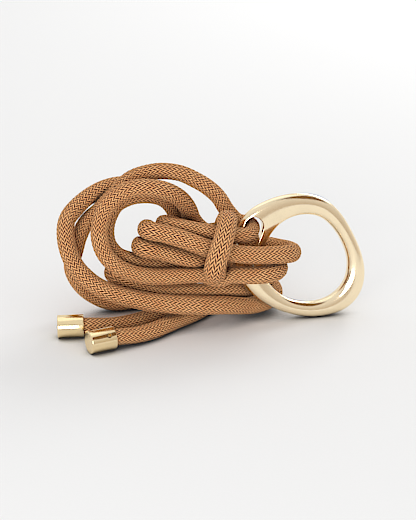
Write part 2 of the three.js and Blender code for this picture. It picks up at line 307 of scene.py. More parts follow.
# The buckle's outlines in its own plane, as (across, up) from the point where it stands
RING_OUTER = [
    (0.0, 0.0),
    (0.011, 0.0004),
    (0.021, 0.004),
    (0.028, 0.0114),
    (0.0306, 0.022),
    (0.029, 0.033),
    (0.0245, 0.0445),
    (0.0175, 0.0565),
    (0.0085, 0.065),
    (-0.004, 0.0688),
    (-0.016, 0.0682),
    (-0.026, 0.0652),
    (-0.036, 0.059),
    (-0.0404, 0.05),
    (-0.0414, 0.038),
    (-0.040, 0.027),
    (-0.0345, 0.0174),
    (-0.0224, 0.0075),
    (-0.010, 0.0022),
]
RING_INNER = [
    (-0.002, 0.0088),
    (0.006, 0.0094),
    (0.013, 0.0124),
    (0.019, 0.019),
    (0.021, 0.029),
    (0.0184, 0.0395),
    (0.0124, 0.0495),
    (0.0055, 0.0554),
    (-0.0035, 0.0572),
    (-0.012, 0.0554),
    (-0.019, 0.0506),
    (-0.0244, 0.043),
    (-0.0266, 0.034),
    (-0.025, 0.024),
    (-0.0186, 0.0156),
    (-0.0105, 0.0106),
]
RING_SLOT = [
    (-0.0272, 0.0562),
    (-0.0259, 0.053),
    (-0.0269, 0.0486),
    (-0.0296, 0.042),
    (-0.0312, 0.034),
    (-0.0324, 0.0284),
    (-0.035, 0.0266),
    (-0.037, 0.030),
    (-0.0376, 0.040),
    (-0.037, 0.050),
    (-0.0348, 0.056),
    (-0.0306, 0.0582),
]
RING_CENTRE = (-0.005, 0.033)
RING_STATIONS = 288
OUTLINE_WAVES = 13
SLOT_ROUNDING = 0.00045

# The buckle's cross-section: share of the way from the outer edge to the inner one, and
# share of the half thickness toward the front (+) or the back (-)
RING_SECTION = [
    (0.0, 0.0),
    (0.04, 0.42),
    (0.15, 0.78),
    (0.34, 0.98),
    (0.55, 1.0),
    (0.76, 0.86),
    (0.93, 0.55),
    (1.0, 0.1),
    (0.985, -0.5),
    (0.86, -0.86),
    (0.5, -0.96),
    (0.14, -0.78),
    (0.03, -0.4),
]
RING_SECTION_SIDES = 44

# The caps: where the open end is, and the way to the closed end
ROPE_IN_CAP = CAP_BORE_DEPTH - 2 * FIT_GAP
REAR_CAP_HEADING = Vector((-1.0, -0.0875, 0.0)).normalized()
REAR_CAP_MOUTH = Vector(ROPE_POINTS[0]) - ROPE_IN_CAP * REAR_CAP_HEADING
REAR_CAP_ROLL = math.pi
FRONT_CAP_HEADING = Vector((-0.9, -0.436, 0.0)).normalized()
FRONT_CAP_MOUTH = Vector(ROPE_POINTS[-1]) - ROPE_IN_CAP * FRONT_CAP_HEADING
FRONT_CAP_ROLL = math.radians(-50)

# The braid: columns round the rope, the pitch of the strands along a column, and how many
# pitches a strand runs along the rope as it crosses its column. Then the rows of corners to a
# pitch, the depth of the relief, and the share of it by which the columns' edges are sunk
BRAID_COLUMNS = 22
BRAID_PITCH = 0.0023
BRAID_SLANT = 0.85
BRAID_ROWS = 3
BRAID_DEPTH = 0.00042
BRAID_EDGE_SINK = 0.3
ROPE_SIDES = 2 * BRAID_COLUMNS


def new_object(name, vertices, faces, smooth=True):
    """A mesh object from corners and faces, with no parent."""
    mesh = bpy.data.meshes.new(name)
    mesh.from_pydata([tuple(v) for v in vertices], [], [tuple(f) for f in faces])
    mesh.polygons.foreach_set("use_smooth", [smooth] * len(mesh.polygons))
    mesh.update()
    thing = bpy.data.objects.new(name, mesh)
    bpy.context.scene.collection.objects.link(thing)
    return thing


def unit(rows):
    """Each row scaled to length one."""
    lengths = np.linalg.norm(rows, axis=-1, keepdims=True)
    return rows / np.maximum(lengths, 1e-12)


# Camera


def make_camera():
    """The camera stands where the photographer's did."""
    data = bpy.data.cameras.new("photo_camera")
    camera = bpy.data.objects.new("photo_camera", data)
    bpy.context.scene.collection.objects.link(camera)
    data.sensor_fit = "HORIZONTAL"
    data.sensor_width = SENSOR_WIDTH
    data.lens = SENSOR_WIDTH * PHOTO_DISTANCE / PHOTO_WIDTH
    data.clip_start = 0.02
    data.clip_end = 20.0
    ahead = Vector((0.0, math.cos(PHOTO_PITCH), -math.sin(PHOTO_PITCH)))
    camera.location = PHOTO_TARGET - PHOTO_DISTANCE * ahead
    camera.rotation_euler = (math.pi / 2 - PHOTO_PITCH, 0.0, 0.0)
    bpy.context.scene.camera = camera


# The rope's line and frames


def smooth_through(points, samples):
    """A centripetal Catmull-Rom curve through the points, with so many samples a span."""
    points = np.array(points, float)
    before = 2 * points[0] - points[1]
    after = 2 * points[-1] - points[-2]
    row = np.vstack([before, points, after])
    t = np.linspace(0.0, 1.0, samples, endpoint=False)[:, None]
    pieces = []
    for k in range(len(points) - 1):
        a, b, c, d = row[k : k + 4]
        ab, bc, cd = (math.sqrt(np.linalg.norm(q - p)) for p, q in ((a, b), (b, c), (c, d)))
        leave = ((b - a) / ab - (c - a) / (ab + bc) + (c - b) / bc) * bc
        arrive = ((c - b) / bc - (d - b) / (bc + cd) + (d - c) / cd) * bc
        square = 3 * (c - b) - 2 * leave - arrive
        cube = 2 * (b - c) + leave + arrive
        pieces.append(b + leave * t + square * t**2 + cube * t**3)
    pieces.append(points[-1:])
    return np.vstack(pieces)


def rope_line():
    """Evenly spaced centres along the rope, the length run to each, and to each listed point."""
    points = np.array(ROPE_POINTS) + np.array(BELT_SHIFT)
    line = smooth_through(points, LINE_SAMPLES)
    run = np.concatenate([[0.0], np.cumsum(np.linalg.norm(np.diff(line, axis=0), axis=1))])
    count = int(round(run[-1] / ROPE_STEP)) + 1
    along = np.linspace(0.0, run[-1], count)
    centres = np.column_stack([np.interp(along, run, line[:, k]) for k in range(3)])
    return centres, along, run[::LINE_SAMPLES]


def carried_frames(centres):
    """Directions along, beside and above the line, carried along it without twisting."""
    along = unit(np.gradient(centres, axis=0))
    beside = np.empty_like(centres)
    beside[0] = unit(np.cross(along[0], (0.0, 0.0, 1.0)))
    for k in range(1, len(centres)):
        kept = beside[k - 1] - along[k] * (beside[k - 1] @ along[k])
        beside[k] = kept / np.linalg.norm(kept)
    return along, beside, np.cross(along, beside)


def bend_of(centres, run):
    """The vector toward the inside of the bend, one over the bend's radius long."""
    along = unit(np.gradient(centres, axis=0))
    return np.gradient(along, run, axis=0)


def nearest_strand(corners, own, centres, along):
    """The nearest point of the rope's line to each corner, leaving out the corner's own stretch."""
    window = int(OWN_STRETCH / ROPE_STEP)
    numbers = np.arange(len(centres))
    squares = (centres**2).sum(1)
    nearest = np.empty_like(corners)
    batch = 4000
    for start in range(0, len(corners), batch):
        part = corners[start : start + batch]
        away = squares[None, :] - 2 * part @ centres.T
        away[np.abs(numbers[None, :] - own[start : start + batch, None]) < window] = np.inf
        best = away.argmin(1)
        slide = ((part - centres[best]) * along[best]).sum(1, keepdims=True)
        slide = np.clip(slide, -ROPE_STEP, ROPE_STEP)
        nearest[start : start + batch] = centres[best] + along[best] * slide
    return nearest


def press(rings, centres, along):
    """Moves each ring's corners back where the rope lies against another strand or the floor."""
    count, sides, _ = rings.shape
    corners = rings.reshape(-1, 3)
    own = np.repeat(np.arange(count), sides)
    middle = centres[own]
    toward = nearest_strand(corners, own, centres, along) - middle
    distance = np.linalg.norm(toward, axis=1, keepdims=True)
    toward = toward / np.maximum(distance, 1e-9)
    room = (distance - PRESS_GAP) / 2
    excess = ((corners - middle) * toward).sum(1, keepdims=True) - room
    push = (excess + np.sqrt(excess**2 + PRESS_SOFTNESS**2)) / 2
    pressed = corners - toward * push
    pressed[:, 2] = np.maximum(pressed[:, 2], FLOOR_CLEARANCE)
    return pressed.reshape(rings.shape)


def smooth_rings(rings, centres, frames, passes):
    """Evens out the rings in the rope's own frames, so that bends don't shrink."""
    arms = rings - centres[:, None, :]
    local = np.stack([(arms * f[:, None, :]).sum(2) for f in frames], axis=2)
    for _ in range(passes):
        local[1:-1] = (local[:-2] + 2 * local[1:-1] + local[2:]) / 4
        turned = np.roll(local, 1, axis=1) + np.roll(local, -1, axis=1)
        local = (turned + 2 * local) / 4
    arms = sum(local[:, :, k : k + 1] * frames[k][:, None, :] for k in range(3))
    return centres[:, None, :] + arms


def ring_areas(rings, centres, frames):
    """The area inside each ring, across the rope."""
    arms = rings - centres[:, None, :]
    x = (arms * frames[1][:, None, :]).sum(2)
    y = (arms * frames[2][:, None, :]).sum(2)
    return np.abs((x * np.roll(y, -1, axis=1) - y * np.roll(x, -1, axis=1)).sum(1)) / 2


def rope_rings():
    """The rope's cross-sections, soft enough to flatten in bends and against each other."""
    centres, run, point_run = rope_line()
    frames = carried_frames(centres)
    along, beside, above = frames
    numbers, shares = zip(*ROPE_FULLNESS)
    fullness = np.interp(run, [point_run[n] for n in numbers], shares)
    pass_distance = np.linalg.norm(centres - np.array(SLOT_PASS + BELT_SHIFT), axis=1)
    fade = np.clip(1 - pass_distance / SLOT_SQUEEZE_REACH, 0, None)
    radius = ROPE_DIAMETER / 2 * fullness * (1 - SLOT_SQUEEZE * np.sqrt(fade))
    twist = sum(a * np.sin(w * 2 * math.pi * run / run[-1] + p) for a, w, p in TWIST_TURNS)
    angles = twist[:, None] + 2 * math.pi * np.arange(ROPE_SIDES)[None, :] / ROPE_SIDES
    arms = (
        np.cos(angles)[:, :, None] * beside[:, None, :]
        + np.sin(angles)[:, :, None] * above[:, None, :]
    ) * radius[:, None, None]
    # a bend flattens the rope toward its inside and widens it across
    bend = bend_of(centres, run)
    sharpness = np.linalg.norm(bend, axis=1)
    inside = unit(bend)
    flatten = BEND_FLATTENING * np.clip(sharpness * radius, 0, 1) ** 1.5
    inward = (arms * inside[:, None, :]).sum(2, keepdims=True)
    shrink = flatten[:, None, None]
    arms = arms * (1 + shrink * 0.5) - inward * inside[:, None, :] * shrink * 1.5
    rings = centres[:, None, :] + arms
    target = ring_areas(rings, centres, frames)
    for _ in range(2):
        rings = press(rings, centres, along)
        swell = np.sqrt(target / np.maximum(ring_areas(rings, centres, frames), 1e-9))
        swell = np.clip(swell, 1.0, MOST_SWELL)[:, None, None]
        rings = centres[:, None, :] + (rings - centres[:, None, :]) * swell
        rings = smooth_rings(rings, centres, frames, 2)
    rings = press(rings, centres, along)
    rings = smooth_rings(rings, centres, frames, 1)
    rings[:, :, 2] = np.maximum(rings[:, :, 2], FLOOR_CLEARANCE)
    return rings, centres, run


def tube_faces(count, sides):
    """Four-sided faces between neighbouring rings, with a closing face at each end."""
    faces = []
    for k in range(count - 1):
        here, there = k * sides, (k + 1) * sides
        for j in range(sides):
            j2 = (j + 1) % sides
            faces.append((here + j, here + j2, there + j2, there + j))
    faces.append(tuple(reversed(range(sides))))
    faces.append(tuple(range((count - 1) * sides, count * sides)))
    return faces


def outward_of(rings, centres):
    """The direction out of the rope's side at every corner of its rings."""
    ahead = np.gradient(rings, axis=0)
    round_it = np.roll(rings, -1, axis=1) - np.roll(rings, 1, axis=1)
    outward = unit(np.cross(ahead, round_it))
    facing = (outward * (rings - centres[:, None, :])).sum(2, keepdims=True)
    return np.where(facing < 0, -outward, outward)


def woven_rows(rings, centres, run):
    """Rows of corners that follow the slanted strands, sunk where one strand meets the next."""
    sides = rings.shape[1]
    side = np.arange(sides)
    outward = outward_of(rings, centres)
    # the edges of the columns run ahead and behind in turn, so the rows zigzag round the rope
    lead = np.array([-0.5, 0.0, 0.5, 0.0])[side % 4] * BRAID_SLANT * BRAID_PITCH
    count = int(run[-1] / BRAID_PITCH * BRAID_ROWS)
    spare = int(BRAID_ROWS * BRAID_SLANT) + 1
    # a quarter of a row's shift lets both kinds of column meet their strands alike
    number = np.arange(-spare, count + spare + 1) + 0.25
    reach = number[:, None] * BRAID_PITCH / BRAID_ROWS + lead[None, :]
    reach = np.clip(reach, 0.0, run[-1])
    spot = reach / (run[1] - run[0])
    low = np.minimum(spot.astype(int), len(run) - 2)
    share = (spot - low)[:, :, None]
    corners = rings[low, side[None, :]] * (1 - share) + rings[low + 1, side[None, :]] * share
    away = unit(outward[low, side[None, :]] * (1 - share) + outward[low + 1, side[None, :]] * share)
    # every second column starts half a strand later
    phase = number[:, None] / BRAID_ROWS + 0.5 * (side // 2 % 2)[None, :]
    sink = np.where(side[None, :] % 2 == 0, BRAID_EDGE_SINK, 0.5 + 0.5 * np.cos(2 * math.pi * phase))
    corners = corners - away * (sink * BRAID_DEPTH)[:, :, None]
    corners[:, :, 2] = np.maximum(corners[:, :, 2], FLOOR_CLEARANCE)
    return corners, reach


def make_rope():
    """The rope's mesh with the braid's map on it, its centres and its length."""
    rings, centres, run = rope_rings()
    corners, reach = woven_rows(rings, centres, run)
    count, sides, _ = corners.shape
    rope = new_object("braided_rope", corners.reshape(-1, 3), tube_faces(count, sides))
    # the braid's own map: once round the rope across, and metres along it
    braid_map = rope.data.uv_layers.new(name="braid")
    k = np.repeat(np.arange(count - 1), sides)
    j = np.tile(np.arange(sides), count - 1)
    j2 = (j + 1) % sides
    across = np.stack([j, j + 1, j + 1, j], axis=1) / sides
    length = np.stack([reach[k, j], reach[k, j2], reach[k + 1, j2], reach[k + 1, j]], axis=1)
    places = np.zeros((len(rope.data.loops), 2))
    places[: across.size, 0] = across.ravel()
    places[: length.size, 1] = length.ravel()
    braid_map.data.foreach_set("uv", places.astype(np.float32).ravel())
    return rope, centres, run[-1]


# The buckle


def closed_curve(points, count):
    """A smooth closed line through the points."""
    points = np.array(points, float)
    lap = np.vstack([points[-3:], points, points[:4]])
    line = smooth_through(lap, 24)[3 * 24 : (3 + len(points)) * 24 + 1]
    run = np.concatenate([[0.0], np.cumsum(np.linalg.norm(np.diff(line, axis=0), axis=1))])
    even = np.linspace(0.0, run[-1], count, endpoint=False)
    return np.column_stack([np.interp(even, run, line[:, k]) for k in range(line.shape[1])])


def outline_reach(points, angles):
    """How far an outline lies from the buckle's centre at each angle, as one soft even line."""
    line = closed_curve(points, 720) - np.array(RING_CENTRE)
    turn = np.arctan2(line[:, 1], line[:, 0])
    order = np.argsort(turn)
    even = np.linspace(-math.pi, math.pi, 720, endpoint=False)
    reach = np.interp(even, turn[order], np.hypot(*line.T)[order], period=2 * math.pi)
    waves = np.fft.rfft(reach)
    fade = np.exp(-((np.arange(len(waves)) / OUTLINE_WAVES) ** 4))
    soft = np.fft.irfft(waves * fade, len(even))
    return np.interp(angles, even, soft, period=2 * math.pi)


def ring_half(angles):
    """Half the band's thickness: it is thinner at the left, where the bar is."""
    leftness = (1 - np.cos(angles)) / 2
    return RING_THICKNESS / 2 * (1 - (1 - RING_THINNEST) * leftness)


def ring_surface(places, side):
    """The height of the band's front (side 1) or back (side -1) over places in its plane."""
    arms = places - np.array(RING_CENTRE)
    angles = np.arctan2(arms[:, 1], arms[:, 0])
    far = outline_reach(RING_OUTER, angles)
    near = outline_reach(RING_INNER, angles)
    share = (far - np.hypot(*arms.T)) / (far - near)
    section = closed_curve(RING_SECTION, 400)
    face = section[section[:, 1] * side > 0]
    face = face[np.argsort(face[:, 0])]
    return ring_half(angles) * np.interp(share, face[:, 0], np.abs(face[:, 1]))


def ring_to_world():
    """From the buckle's own plane to where it stands, turned and leaning back."""
    return (
        Matrix.Translation(RING_FOOT + BELT_SHIFT)
        @ Matrix.Rotation(RING_YAW, 4, "Z")
        @ Matrix.Rotation(-RING_LEAN, 4, "X")
    )


def loop_strip_faces(rows, sides):
    """Faces of a closed band whose rows follow each other round."""
    faces = []
    for k in range(rows):
        here, there = k * sides, ((k + 1) % rows) * sides
        for j in range(sides):
            j2 = (j + 1) % sides
            faces.append((here + j, here + j2, there + j2, there + j))
    return faces


def make_ring_band():
    """The band before the slot is cut, in its own plane."""
    angles = np.linspace(0, 2 * math.pi, RING_STATIONS, endpoint=False)
    far = outline_reach(RING_OUTER, angles)
    near = outline_reach(RING_INNER, angles)
    half = ring_half(angles)
    section = closed_curve(RING_SECTION, RING_SECTION_SIDES)
    reach = far[:, None] + (near - far)[:, None] * section[None, :, 0]
    x = RING_CENTRE[0] + reach * np.cos(angles)[:, None]
    z = RING_CENTRE[1] + reach * np.sin(angles)[:, None]
    y = -half[:, None] * section[None, :, 1]
    corners = np.stack([x, y, z], axis=2).reshape(-1, 3)
    faces = loop_strip_faces(RING_STATIONS, RING_SECTION_SIDES)
    return new_object("ring_buckle_cast", corners, faces)


def make_slot_cutter():
    """The slot as a solid, flared where it meets the band's faces, so its edges come out round."""
    outline = closed_curve(RING_SLOT, 144)
    waves = np.fft.fft(outline[:, 0] + 1j * outline[:, 1])
    number = np.abs(np.fft.fftfreq(len(outline), 1 / len(outline)))
    soft = np.fft.ifft(waves * np.exp(-((number / 16) ** 4)))
    outline = np.column_stack([soft.real, soft.imag])
    forward = unit(np.roll(outline, -1, axis=0) - np.roll(outline, 1, axis=0))
    outward = np.column_stack([forward[:, 1], -forward[:, 0]])
    if ((outline - outline.mean(0)) * outward).sum() < 0:
        outward = -outward
    rows = []
    turns = np.radians([0, 15, 30, 45, 60, 74])
    for side in (-1, 1):
        wall = []
        for turn in turns:
            places = outline + outward * SLOT_ROUNDING * (1 - math.cos(turn))
            height = ring_surface(places, side) - SLOT_ROUNDING * (1 - math.sin(turn))
            wall.append(np.column_stack([places[:, 0], -side * height, places[:, 1]]))
        last = wall[-1].copy()
        last[:, 1] = -side * RING_THICKNESS
        wall.append(last)
        rows += wall[::-1] if side < 0 else wall
    sides = len(outline)
    corners = np.vstack(rows)
    return new_object("slot_cutter", corners, tube_faces(len(rows), sides), smooth=False)


def cut_away(solid, cutter):
    """Cuts one solid out of another and drops the cutter."""
    for thing in (solid, cutter):
        point_outward(thing)
    modifier = solid.modifiers.new("cut", "BOOLEAN")
    modifier.operation = "DIFFERENCE"
    modifier.solver = "EXACT"
    modifier.object = cutter
    settle(solid)
    bpy.data.objects.remove(cutter)


def point_outward(thing):
    """Turns the faces of a closed mesh so that they look outward."""
    mesh = thing.data
    mesh.calc_loop_triangles()
    corners = np.array([v.co for v in mesh.vertices])
    triangles = np.array([t.vertices for t in mesh.loop_triangles])
    a, b, c = (corners[triangles[:, k]] for k in range(3))
    if (a * np.cross(b, c)).sum() < 0:
        mesh.flip_normals()


def settle(thing):
    """Applies every modifier to the mesh."""
    graph = bpy.context.evaluated_depsgraph_get()
    made = bpy.data.meshes.new_from_object(thing.evaluated_get(graph))
    thing.modifiers.clear()
    thing.data = made


def soft_edges(thing, degrees):
    """Smooth shading, except across edges sharper than the angle."""
    thing.data.set_sharp_from_angle(angle=math.radians(degrees))
    thing.data.polygons.foreach_set("use_smooth", [True] * len(thing.data.polygons))
    thing.data.update()


def make_ring():
    """The buckle with its slot, in its place."""
    ring = make_ring_band()
    cut_away(ring, make_slot_cutter())
    soft_edges(ring, 48)
    ring.data.transform(ring_to_world())
    return ring


# The caps and their screws


def turned(name, profile, sides):
    """A closed solid turned round Z from (radius, height) corners that start and end on the axis."""
    corners = []
    for radius, height in profile:
        if radius == 0:
            corners.append((0.0, 0.0, height))
            continue
        for j in range(sides):
            angle = 2 * math.pi * j / sides
            corners.append((radius * math.cos(angle), radius * math.sin(angle), height))
    faces = []
    rows = len(profile) - 2
    for k in range(rows - 1):
        here, there = 1 + k * sides, 1 + (k + 1) * sides
        for j in range(sides):
            j2 = (j + 1) % sides
            faces.append((here + j, here + j2, there + j2, there + j))
    last = len(corners) - 1
    for j in range(sides):
        j2 = (j + 1) % sides
        faces.append((0, 1 + j2, 1 + j))
        faces.append((last, 1 + (rows - 1) * sides + j, 1 + (rows - 1) * sides + j2))
    return new_object(name, corners, faces)


def quarter(centre, radius, start, steps=5):
    """Points on a quarter turn about a centre, from a start angle in degrees."""
    turns = np.radians(start + 90 * np.arange(steps + 1) / steps)
    return [(centre[0] + radius * math.cos(t), centre[1] + radius * math.sin(t)) for t in turns]


def cap_profile():
    """Half the cap's outline as (radius, height) corners, with its lip and edges rounded."""
    radius = CAP_DIAMETER / 2
    bore = ROPE_DIAMETER / 2 + FIT_GAP
    lip = 0.00022
    end = CAP_LENGTH
    return (
        [(0, CAP_BORE_DEPTH), (bore, CAP_BORE_DEPTH)]
        + quarter((bore + lip, lip), lip, 180)
        + quarter((radius - CAP_EDGE, CAP_EDGE), CAP_EDGE, 270)
        + quarter((radius - CAP_EDGE, end - CAP_EDGE), CAP_EDGE, 0)
        + [(radius - 0.0012, end), (0, end)]
    )


def cap_to_world(mouth, heading, roll):
    """From a cap's own frame, with its mouth at the origin, to its place on the rope's end."""
    side = Vector((heading.y, -heading.x, 0.0)).normalized()
    along = heading.normalized()
    up = along.cross(side)
    turn = Matrix((side, up, along)).transposed().to_4x4()
    return Matrix.Translation(mouth + BELT_SHIFT) @ turn @ Matrix.Rotation(roll, 4, "Z")


def screw_hole_cutter():
    """The drilled hole of the set screw, opened out a little at the cap's surface."""
    outside = CAP_DIAMETER / 2
    radius = SCREW_DIAMETER / 2
    bevel = 0.00025
    profile = [
        (0, ROPE_DIAMETER / 4),
        (radius, ROPE_DIAMETER / 4),
        (radius, outside - 1.6 * bevel),
        (radius + bevel, outside - 0.2 * bevel),
        (radius + 2 * bevel, outside + bevel),
        (radius + 2 * bevel, 2 * outside),
        (0, 2 * outside),
    ]
    cutter = turned("screw_hole_cutter", profile, 48)
    lay = Matrix.Translation((0, 0, SCREW_FROM_MOUTH)) @ Matrix.Rotation(math.pi / 2, 4, "X")
    cutter.data.transform(lay)
    return cutter


def make_cap(name, mouth, heading, roll):
    """A turned cap with the hole of its set screw."""
    cap = turned(name, cap_profile(), 96)
    cut_away(cap, screw_hole_cutter())
    soft_edges(cap, 40)
    cap.data.transform(cap_to_world(mouth, heading, roll))
    return cap


def make_screw(name, mouth, heading, roll):
    """A set screw with a six-sided socket."""
    radius = SCREW_DIAMETER / 2 - FIT_GAP
    inner = ROPE_DIAMETER / 2 + FIT_GAP
    outer = CAP_DIAMETER / 2 - FIT_GAP
    edge = 0.00015
    profile = [(0, inner), (radius, inner), (radius, outer - edge), (radius - edge, outer), (0, outer)]
    screw = turned(name, profile, 36)
    socket = [(0, outer - 0.0006), (radius * 0.5, outer - 0.0006), (radius * 0.5, outer * 2), (0, outer * 2)]
    cut_away(screw, turned("socket_cutter", socket, 6))
    soft_edges(screw, 35)
    lay = Matrix.Translation((0, 0, SCREW_FROM_MOUTH)) @ Matrix.Rotation(math.pi / 2, 4, "X")
    screw.data.transform(cap_to_world(mouth, heading, roll) @ lay)
    return screw


# Materials

STRAND_DEEP = (0.78, 0.335, 0.120, 1.0)
STRAND_PALE = (0.90, 0.49, 0.210, 1.0)
STRAND_PATCH = (0.74, 0.31, 0.10, 1.0)
STRAND_FUZZ = (0.98, 0.62, 0.33, 1.0)
# painted shade for the slits between strands and for the ends where they tuck under
SLIT_PAINTED_SHADE = (0.105, 0.034, 0.012, 1.0)
CREVICE_DARK = (0.020, 0.005, 0.002, 1.0)
CREVICE_REACH = 0.007
RING_GOLD = (1.0, 0.84, 0.58, 1.0)
RING_ROUGHNESS = 0.14
CAP_GOLD = (0.95, 0.76, 0.45, 1.0)
CAP_ROUGHNESS = 0.12
FLOOR_DIM = (0.785, 0.790, 0.792, 1.0)
FLOOR_PALE = (0.805, 0.810, 0.812, 1.0)
FLOOR_SHADOW = (0.030, 0.028, 0.030, 1.0)
FLOOR_SHADOW_REACH = 0.012
ROOM_DIM = (0.62, 0.52, 0.44, 1.0)
ROOM_WHITE = (1.0, 1.0, 1.0, 1.0)
ROOM_STRENGTH = 0.83
CARD_BROWN = (0.20, 0.105, 0.050, 1.0)
SHARPENING = 0.06


def add_node(tree, kind, inputs=None, **settings):
    """A node with its settings, and each input given a value or another node's output."""
    node = tree.nodes.new(kind)
    for name, value in settings.items():
        setattr(node, name, value)
    for name, value in (inputs or {}).items():
        if isinstance(value, bpy.types.NodeSocket):
            tree.links.new(value, node.inputs[name])
        else:
            node.inputs[name].default_value = value
    return node


def sum_of(tree, operation, *values):
    """A Math node on two or three values."""
    inputs = dict(enumerate(values))
    return add_node(tree, "ShaderNodeMath", inputs, operation=operation).outputs[0]


def spread(tree, value, low, high, to_low=0.0, to_high=1.0):
    """The value mapped from one range to another and held inside it."""
    inputs = {"Value": value, "From Min": low, "From Max": high, "To Min": to_low, "To Max": to_high}
    return add_node(tree, "ShaderNodeMapRange", inputs).outputs["Result"]


def blended(tree, factor, first, second):
    """Two colours mixed by a factor."""
    node = add_node(tree, "ShaderNodeMix", data_type="RGBA")
    for socket, value in ((node.inputs[0], factor), (node.inputs[6], first), (node.inputs[7], second)):
        if isinstance(value, bpy.types.NodeSocket):
            tree.links.new(value, socket)
        else:
            socket.default_value = value
    return node.outputs[2]


def start_material(name, **shader_values):
    """A material with its Principled shader's plain values set."""
    material = bpy.data.materials.new(name)
    material.use_nodes = True
    tree = material.node_tree
    tree.nodes.clear()
    inputs = {key.replace("_", " "): value for key, value in shader_values.items()}
    shader = add_node(tree, "ShaderNodeBsdfPrincipled", inputs)
    add_node(tree, "ShaderNodeOutputMaterial", {"Surface": shader.outputs[0]})
    return material, tree, shader


def rope_braid_material():
    """Columns of slanted strands, each column leaning the other way to the next."""
    material, tree, shader = start_material(
        "rope_braid",
        Roughness=0.78,
        Specular_IOR_Level=0.22,
        Sheen_Weight=0.10,
        Sheen_Roughness=0.45,
        Sheen_Tint=(1.0, 0.76, 0.52, 1.0),
    )
    braid_map = add_node(tree, "ShaderNodeUVMap", uv_map="braid")
    place = add_node(tree, "ShaderNodeSeparateXYZ", {0: braid_map.outputs[0]})
    columns = sum_of(tree, "MULTIPLY", place.outputs[0], float(BRAID_COLUMNS))
    column = sum_of(tree, "FLOOR", columns)
    within = sum_of(tree, "FRACT", columns)
    odd = sum_of(tree, "MODULO", column, 2.0)
    lean = sum_of(tree, "MULTIPLY_ADD", odd, 2.0, -1.0)
    shift = sum_of(tree, "MULTIPLY", sum_of(tree, "SUBTRACT", within, 0.5), BRAID_SLANT)
    rows = sum_of(tree, "DIVIDE", place.outputs[1], BRAID_PITCH)
    rows = sum_of(tree, "MULTIPLY_ADD", lean, shift, rows)
    # every second column starts half a strand later
    rows = sum_of(tree, "MULTIPLY_ADD", odd, 0.5, rows)
    row = sum_of(tree, "FLOOR", rows)
    in_row = sum_of(tree, "FRACT", rows)
    # a strand is round across and dips at both ends, where it goes under the next column
    across = sum_of(tree, "ABSOLUTE", sum_of(tree, "MULTIPLY_ADD", in_row, 2.0, -1.0))
    ends = sum_of(tree, "ABSOLUTE", sum_of(tree, "MULTIPLY_ADD", within, 2.0, -1.0))
    round_top = sum_of(tree, "SUBTRACT", 1.0, sum_of(tree, "POWER", across, 3.0))
    dip = sum_of(tree, "SUBTRACT", 1.0, sum_of(tree, "MULTIPLY", sum_of(tree, "POWER", ends, 5.0), 0.6))
    height = sum_of(tree, "MULTIPLY", round_top, dip)
    # no two strands are the same colour or stand equally high
    strand = add_node(tree, "ShaderNodeCombineXYZ", {0: column, 1: row})
    chance = add_node(tree, "ShaderNodeTexWhiteNoise", {"Vector": strand.outputs[0]}, noise_dimensions="2D")
    tone = chance.outputs["Value"]
    solid_place = add_node(tree, "ShaderNodeTexCoord").outputs["Object"]
    patches = add_node(tree, "ShaderNodeTexNoise", {"Vector": solid_place, "Scale": 55.0, "Detail": 3.0})
    fuzz = add_node(tree, "ShaderNodeTexNoise", {"Vector": solid_place, "Scale": 3200.0, "Detail": 2.0})
    # the plies twisted into each strand
    plies = sum_of(tree, "MULTIPLY_ADD", in_row, 3.0, sum_of(tree, "MULTIPLY", within, 1.5))
    plies = sum_of(tree, "SINE", sum_of(tree, "MULTIPLY", plies, 2 * math.pi))
    strand_colour = blended(tree, tone, STRAND_DEEP, STRAND_PALE)
    patch = sum_of(tree, "MULTIPLY", spread(tree, patches.outputs["Fac"], 0.3, 0.7), 0.25)
    strand_colour = blended(tree, patch, strand_colour, STRAND_PATCH)
    fuzz_share = spread(tree, fuzz.outputs["Fac"], 0.35, 0.75, 0.0, 0.35)
    strand_colour = blended(tree, fuzz_share, strand_colour, STRAND_FUZZ)
    # painted shade: the slits between strands are painted dark, widest in the middle of a column and narrow
    # at its edges, and a strand's ends are painted darker where it tucks under the next column
    narrowing = sum_of(tree, "MULTIPLY", sum_of(tree, "POWER", ends, 2.0), 0.30)
    slit_shade = spread(tree, sum_of(tree, "SUBTRACT", across, narrowing), 0.36, 0.50)
    tuck_shade = spread(tree, height, 0.45, 0.15)
    painted_slit_shade = sum_of(tree, "MAXIMUM", slit_shade, sum_of(tree, "MULTIPLY", tuck_shade, 0.6))
    colour = blended(tree, painted_slit_shade, strand_colour, SLIT_PAINTED_SHADE)
    # hardly any light reaches the crevices between strands of the hank
    shelter = add_node(tree, "ShaderNodeAmbientOcclusion", {"Distance": CREVICE_REACH}, samples=8)
    crevice = sum_of(tree, "MULTIPLY", spread(tree, shelter.outputs["AO"], 0.12, 0.66, 1.0, 0.0), 0.7)
    colour = blended(tree, crevice, colour, CREVICE_DARK)
    tree.links.new(colour, shader.inputs["Base Color"])
    relief = sum_of(tree, "MULTIPLY_ADD", tone, 0.18, height)
    relief = sum_of(tree, "MULTIPLY_ADD", plies, 0.05, relief)
    relief = sum_of(tree, "MULTIPLY_ADD", fuzz.outputs["Fac"], 0.12, relief)
    bump = add_node(tree, "ShaderNodeBump", {"Height": relief, "Distance": BRAID_DEPTH, "Strength": 0.9})
    tree.links.new(bump.outputs[0], shader.inputs["Normal"])
    return material


